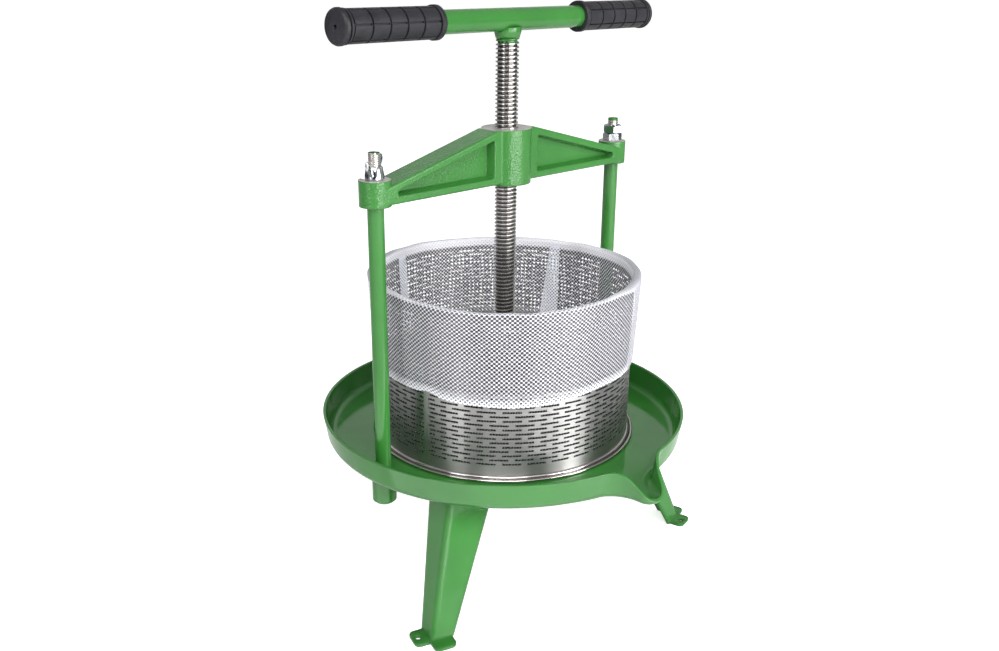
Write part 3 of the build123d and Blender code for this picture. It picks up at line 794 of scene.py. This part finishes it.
pickFaces(wall, onSlot)
bpy.ops.mesh.delete(type="FACE")
closeEdit()
applyModifier(
    wall, "ARRAY", count=wallSize["stacks"], use_relative_offset=False, use_constant_offset=True,
    constant_offset_displace=(0, 0, unit), use_merge_vertices=True, merge_threshold=seamBelow,
)
openEdit(wall, "EDGE")
lastBand = wallSize["firstBand"] + unit * wallSize["stacks"]
pickEdges(wall, lambda a, b: max(a.z, b.z) < wallSize["firstBand"] + seamBelow)
drawUp(wallSize["low"] - wallSize["firstBand"])
pickEdges(wall, lambda a, b: min(a.z, b.z) > lastBand - seamBelow)
drawUp(wallSize["top"] - lastBand)
bpy.ops.mesh.extrude_edges_move()
widen(1 + wallSize["rim"] / wallSize["radius"])
drawUp(-wallSize["hem"])
bpy.ops.mesh.select_all(action="SELECT")
bpy.ops.mesh.normals_make_consistent(inside=False)
closeEdit()
applyModifier(wall, "SOLIDIFY", thickness=wallSize["sheet"], offset=-1)
smooth(wall, wallSize["sharp"])
finishPiece(wall, "basketWall", "frame", "stainless", stainless, "basket_wall")
print("stage: basket wall")

# Foot ring: a curl against the wall and a rolled edge
ringSize = {
    "inner": 0.11705, "low": 0.1221, "groove": (0.1202, 0.1230), "steps": 160, "sharp": 40,
    "bead": (0.12175, 0.12357), "beadRadius": 0.00145, "beadArc": [-90 + 20 * step for step in range(13)],
    "curl": (0.1173, 0.1243), "curlRadius": 0.0027, "curlArc": [10.5 * step for step in range(9)],
}
outline = [(ringSize["inner"], ringSize["low"])]
outline += arcPoints(ringSize["bead"], ringSize["beadRadius"], ringSize["beadArc"])
outline.append(ringSize["groove"])
outline += arcPoints(ringSize["curl"], ringSize["curlRadius"], ringSize["curlArc"])
outline.append((ringSize["inner"], ringSize["curl"][1] + ringSize["curlRadius"]))
outline.append(outline[0])
footRing = turnProfile("footRing", outline, ringSize["steps"])
smooth(footRing, ringSize["sharp"])
finishPiece(footRing, "basketFootRing", "frame", "stainless", ringSteel, "basket_foot_ring")
print("stage: foot ring")

# Net bag: bottom, lining, fold over the rim and a loose skirt
bagSize = {
    "steps": 208, "sharp": 60, "eye": 0.0005, "bottom": 0.1125, "bottomSteps": 9, "base": 0.1228,
    "corner": [(0.1143, 0.1231), (0.1150, 0.1239)], "bottomTo": 0.13,
    "lining": 0.1153, "liningLow": 0.125, "liningSteps": 26, "sag": 0.0005, "sagWaves": ((11, 8), (4, 30)),
    "foldRadius": 0.0036, "foldAt": 0.1189, "foldZ": 0.2714, "foldSteps": 10, "roundness": 2.6,
    "hem": 0.1948, "skirtSteps": 22, "drawIn": 0.0029, "widen": 0.0012, "facing": -135,
    "wave": 0.0007, "waves": [(5, 1, 1.1), (9, 0.6, 0.4), (14, 0.4, 2)],
    "hemDip": 0.0040, "hemWaves": [(5, 0.0007, 0)],
    "liftFrom": 0.245, "liftOver": 0.025, "lift": (0.0006, 0.0017),
    "ripples": [(13, 0.0002, 1), (21, 0.0002, 0)],
    "creases": [
        (-162, 15, 0.0015), (-104, 11, 0.0006), (-72, 10, 0.0009), (-18, 14, 0.0003), (36, 12, 0.0008),
        (88, 15, 0.0012), (141, 12, 0.0010),
    ],
    "creaseTop": 0.15, "notch": (-167, 6, 0.0028), "notchFade": 6,
    "flatPitch": 0.004, "flatShift": 0.5,
}
foldAt, foldZ, foldRadius = bagSize["foldAt"], bagSize["foldZ"], bagSize["foldRadius"]


def unroll(obj, columns):
    # columns across and metres from the fold along the cloth
    while obj.data.uv_layers:
        obj.data.uv_layers.remove(obj.data.uv_layers[0])
    layer = obj.data.uv_layers.new(name="cloth")
    for face in obj.data.polygons:
        places = []
        for loop in face.loop_indices:
            x, y, z = obj.data.vertices[obj.data.loops[loop].vertex_index].co
            past = math.hypot(x, y) - foldAt
            across = (math.atan2(y, x) / math.tau) % 1.0 * columns
            if z > foldZ:
                along = foldRadius * math.atan2(past, z - foldZ)
            else:
                along = math.copysign(0.5 * math.pi * foldRadius + foldZ - z, past)
            if abs(face.normal.z) > looksAlong and z < bagSize["bottomTo"]:
                # the bottom lies flat, far from the fold
                across, along = x / bagSize["flatPitch"], y - bagSize["flatShift"]
            places.append((loop, across, along))
        widest = max(place[1] for place in places)
        for loop, across, along in places:
            if widest - across > columns / 2:
                across += columns
            layer.data[loop].uv = (across, along)


def tent(angle, at, half, height):
    return height * max(0, 1 - degreesApart(math.degrees(angle), at) / half)


profile = []
for step in range(bagSize["bottomSteps"] + 1):
    profile.append((bagSize["eye"] + bagSize["bottom"] * step / bagSize["bottomSteps"], bagSize["base"]))
profile += bagSize["corner"]
for step in range(bagSize["liningSteps"] + 1):
    rise = (foldZ - bagSize["liningLow"]) * step / bagSize["liningSteps"]
    profile.append((bagSize["lining"], bagSize["liningLow"] + rise))
for step in range(1, bagSize["foldSteps"]):
    angle = math.radians(180 - 180 / bagSize["foldSteps"] * step)
    square = abs(math.cos(angle)) ** bagSize["roundness"] + abs(math.sin(angle)) ** bagSize["roundness"]
    reach = foldRadius / square ** (1 / bagSize["roundness"])
    profile.append((foldAt + reach * math.cos(angle), foldZ + reach * math.sin(angle)))
for step in range(bagSize["skirtSteps"] + 1):
    profile.append((foldAt + foldRadius, foldZ + (bagSize["hem"] - foldZ) * step / bagSize["skirtSteps"]))
bag = turnProfile("filterBag", profile, bagSize["steps"])
unroll(bag, netLook["columns"])
facing = math.radians(bagSize["facing"])
for vertex in bag.data.vertices:
    x, y, z = vertex.co
    radius, angle = math.hypot(x, y), math.atan2(y, x)
    turn = angle - facing
    high = clamp((z - bagSize["liftFrom"]) / bagSize["liftOver"])
    if radius > foldAt:
        # the skirt hangs loose from the fold, draws in to the hem, waves and creases
        down = clamp((foldZ - z) / (foldZ - bagSize["hem"]))
        radius += bagSize["wave"] * waveSum(bagSize["waves"], angle) * down - bagSize["drawIn"] * down
        radius += bagSize["widen"] * math.sin(turn) ** 2 * (1 - down)
        swell = math.sin(math.pi * min(bagSize["creaseTop"] + down, 1)) ** 0.5
        for crease in bagSize["creases"]:
            radius += tent(angle, *crease) * swell
        z += tent(angle, *bagSize["notch"]) * down ** bagSize["notchFade"]
        z -= (bagSize["hemDip"] * math.cos(2 * turn) + waveSum(bagSize["hemWaves"], angle)) * down
    elif bagSize["bottomTo"] < z < foldZ:
        # the lining sags a little away from the wall
        low = math.sin(math.pi * (z - bagSize["bottomTo"]) / (foldZ - bagSize["bottomTo"]))
        first, second = (math.sin(count * angle + rise * z) for count, rise in bagSize["sagWaves"])
        radius -= bagSize["sag"] * low * (1 + first * second)
    # the fold stands over the rim, lowest at the front and back
    lift = bagSize["lift"][0] * math.cos(turn) + bagSize["lift"][1] * math.cos(2 * turn)
    z += high * (waveSum(bagSize["ripples"], angle) - lift)
    vertex.co = (radius * math.cos(angle), radius * math.sin(angle), z)
smooth(bag, bagSize["sharp"])
finishPiece(bag, "filterBag", "frame", "net", net, "filter_bag")
print("stage: bag")

# Pleats where the bag's cloth is lapped and sewn, inside the lining
pleatSize = {
    "low": 0.126, "high": 0.2705, "inset": 0.0016, "flatter": 0.6, "finer": 1.13, "grid": (6, 30),
    "sharp": 60,
    "sides": {
        "right": {"top": (16.2, 21.6), "bottom": (17.4, 31.0), "stand": 0.0014},
        "left": {"top": (103.2, 109.0), "bottom": (97.0, 104.3), "stand": 0.0012},
    },
}
for sideName, side in pleatSize["sides"].items():
    wide, tall = pleatSize["grid"]
    bpy.ops.object.select_all(action="DESELECT")
    bpy.ops.mesh.primitive_grid_add(x_subdivisions=wide, y_subdivisions=tall, size=1, location=(0, 0, 0))
    pleat = bpy.context.object
    for vertex in pleat.data.vertices:
        across, up = vertex.co.x + 0.5, vertex.co.y + 0.5
        first, second = (low + (top - low) * up for low, top in zip(side["bottom"], side["top"]))
        angle = math.radians(first + (second - first) * across)
        stand = side["stand"] * math.sin(math.pi * across) * (1 - pleatSize["flatter"] * up)
        radius = bagSize["lining"] - pleatSize["inset"] - stand
        z = pleatSize["low"] + (pleatSize["high"] - pleatSize["low"]) * up
        vertex.co = (radius * math.cos(angle), radius * math.sin(angle), z)
    unroll(pleat, netLook["columns"] * pleatSize["finer"])
    openEdit(pleat, "FACE")
    bpy.ops.mesh.select_all(action="SELECT")
    bpy.ops.mesh.normals_make_consistent(inside=False)
    face = pleat.data.polygons[0]
    if face.normal.xy.dot(face.center.xy) > 0:
        bpy.ops.mesh.flip_normals()
    closeEdit()
    smooth(pleat, pleatSize["sharp"])
    finishPiece(pleat, sideName + "Pleat", "frame", "net", foldNet)
print("stage: pleats")

# World and floor, white to the camera and darker in reflections
studio = {
    "world": 0.34, "worldGloss": 0.17,
    "floor": (0.92, 0.92, 0.92, 1), "floorSize": 60, "floorZ": -0.0002, "floorRough": 0.9,
    "floorSpecular": 0.1, "floorLift": 0.72, "floorGloss": 0.10,
}


def showsWhite(tree, inGloss):
    path = tree.nodes.new("ShaderNodeLightPath")
    gloss = mathNode(tree, "MULTIPLY", path.outputs["Is Glossy Ray"], inGloss)
    seen = mathNode(tree, "MAXIMUM", path.outputs["Is Camera Ray"], gloss)
    return mathNode(tree, "MAXIMUM", seen, path.outputs["Is Transmission Ray"])


world = bpy.data.worlds.new("studio")
bpy.context.scene.world = world
world.use_nodes = True
tree = world.node_tree
backdrop = tree.nodes["Background"]
backdrop.inputs["Color"].default_value = (1, 1, 1, 1)
strength = spread(tree, showsWhite(tree, studio["worldGloss"]), 0, 1, studio["world"], 1.0)
feed(tree, backdrop.inputs["Strength"], strength)

bpy.ops.object.select_all(action="DESELECT")
bpy.ops.mesh.primitive_plane_add(size=studio["floorSize"], location=(0, 0, studio["floorZ"]))
floor = bpy.context.object
floor.name = "floor"
floorMaterial, tree, shader, place = startMaterial("floorWhite")
shader.inputs["Base Color"].default_value = studio["floor"]
shader.inputs["Roughness"].default_value = studio["floorRough"]
shader.inputs["Specular IOR Level"].default_value = studio["floorSpecular"]
shader.inputs["Emission Color"].default_value = (1, 1, 1, 1)
strength = mathNode(tree, "MULTIPLY", showsWhite(tree, studio["floorGloss"]), studio["floorLift"])
feed(tree, shader.inputs["Emission Strength"], strength)
floor.data.materials.append(floorMaterial)

# Softboxes, the one at the back as a fill that no reflection shows
softboxes = {
    "right": {"at": (0.45, -1.949, 0.80), "size": (1.15, 1.36), "aimZ": 0.7, "power": 45, "glossy": True},
    "left": {"at": (-2.0, -0.25, 0.85), "size": (0.45, 1.30), "aimZ": 0.7, "power": 12, "glossy": True},
    "top": {"at": (-1.10, -1.16, 1.55), "size": (1.2, 0.7), "aimZ": 0.2, "power": 24, "glossy": True},
    "back": {"at": (1.45, 1.55, 1.45), "size": (1.5, 1.2), "aimZ": 0.2, "power": 7, "glossy": False},
}
for lightName, values in softboxes.items():
    bpy.ops.object.light_add(type="AREA", location=values["at"])
    light = bpy.context.object
    light.name = lightName + "Softbox"
    light.data.shape = "RECTANGLE"
    light.data.size, light.data.size_y = values["size"]
    light.data.energy = values["power"]
    light.visible_glossy = values["glossy"]
    aim = Vector((0, 0, values["aimZ"]))
    light.rotation_euler = (aim - Vector(values["at"])).to_track_quat("-Z", "Y").to_euler()

# Cards that only reflections meet, bent round the object or on the floor
cardLooks = {
    "cardBlack": {"shade": 0.03, "glow": 0}, "cardPale": {"shade": 0.7, "glow": 0},
    "cardGlow": {"shade": 0.8, "glow": 1.2}, "stripGlow": {"shade": 0.8, "glow": 14},
}
bentCards = {
    "frontCard": {"look": "cardBlack", "from": -156, "to": -114, "low": 0.02, "high": 1.9},
    "backCard": {"look": "cardBlack", "from": -12, "to": 164, "low": 0.02, "high": 0.75},
    "skyCard": {"look": "cardGlow", "from": -185, "to": -85, "low": 1.95, "high": 4.5},
    "stripCard": {"look": "stripGlow", "from": -114, "to": -97, "low": 0.0, "high": 0.3},
    "trayCard": {"look": "cardPale", "from": -20, "to": 120, "low": 0.75, "high": 1.75},
}
bend = {"radius": 2.3, "steps": 180}
floorCard = {"look": "cardGlow", "at": (-0.23, -0.23, 0.0004), "size": (0.95, 0.32, 1), "turn": -45}
cardMaterials = {}
for lookName, look in cardLooks.items():
    cardMaterials[lookName], tree, shader, place = startMaterial(lookName)
    shader.inputs["Base Color"].default_value = (look["shade"], look["shade"], look["shade"], 1)
    shader.inputs["Emission Color"].default_value = (1, 1, 1, 1)
    shader.inputs["Emission Strength"].default_value = look["glow"]


def stageCard(card, name, look):
    card.name = name
    card.visible_camera = card.visible_diffuse = card.visible_shadow = card.visible_transmission = False
    card.data.materials.append(cardMaterials[look])


for cardName, values in bentCards.items():
    bpy.ops.object.select_all(action="DESELECT")
    bpy.ops.mesh.primitive_cylinder_add(
        vertices=bend["steps"], radius=bend["radius"], depth=values["high"] - values["low"],
        end_fill_type="NOTHING", location=(0, 0, (values["high"] + values["low"]) / 2),
    )
    card = bpy.context.object
    middle = (values["from"] + values["to"]) / 2
    half = (values["to"] - values["from"]) / 2
    openEdit(card, "FACE")
    pickFaces(card, lambda at, normal: degreesApart(math.degrees(math.atan2(at.y, at.x)), middle) > half)
    bpy.ops.mesh.delete(type="FACE")
    closeEdit()
    stageCard(card, cardName, values["look"])
bpy.ops.mesh.primitive_plane_add(size=1, location=floorCard["at"])
card = bpy.context.object
card.scale = floorCard["size"]
card.rotation_euler.z = math.radians(floorCard["turn"])
stageCard(card, "floorCard", floorCard["look"])

# Camera at the photograph's view
viewpoint = {
    "eye": (-0.62140, -0.62598, 0.53500), "azimuth": -44.5118, "elevation": 19.63376, "roll": 0.59805,
    "lens": 36.366, "sensor": 36, "near": 0.01,
}
azimuth, elevation, roll = (math.radians(viewpoint[key]) for key in ("azimuth", "elevation", "roll"))
level = math.cos(elevation)
back = Vector((math.sin(azimuth) * level, -math.cos(azimuth) * level, math.sin(elevation)))
right = Vector((math.cos(azimuth), math.sin(azimuth), 0))
up = back.cross(right)
rolledRight = right * math.cos(roll) + up * math.sin(roll)
rolledUp = up * math.cos(roll) - right * math.sin(roll)
heading = Matrix((rolledRight, rolledUp, back)).transposed().to_4x4()
bpy.ops.object.camera_add()
camera = bpy.context.object
camera.matrix_world = Matrix.Translation(viewpoint["eye"]) @ heading
camera.data.sensor_fit = "HORIZONTAL"
camera.data.sensor_width = viewpoint["sensor"]
camera.data.lens = viewpoint["lens"]
camera.data.clip_start = viewpoint["near"]
scene = bpy.context.scene
scene.camera = camera
scene.view_settings.view_transform = "Standard"
print("stage: studio set")
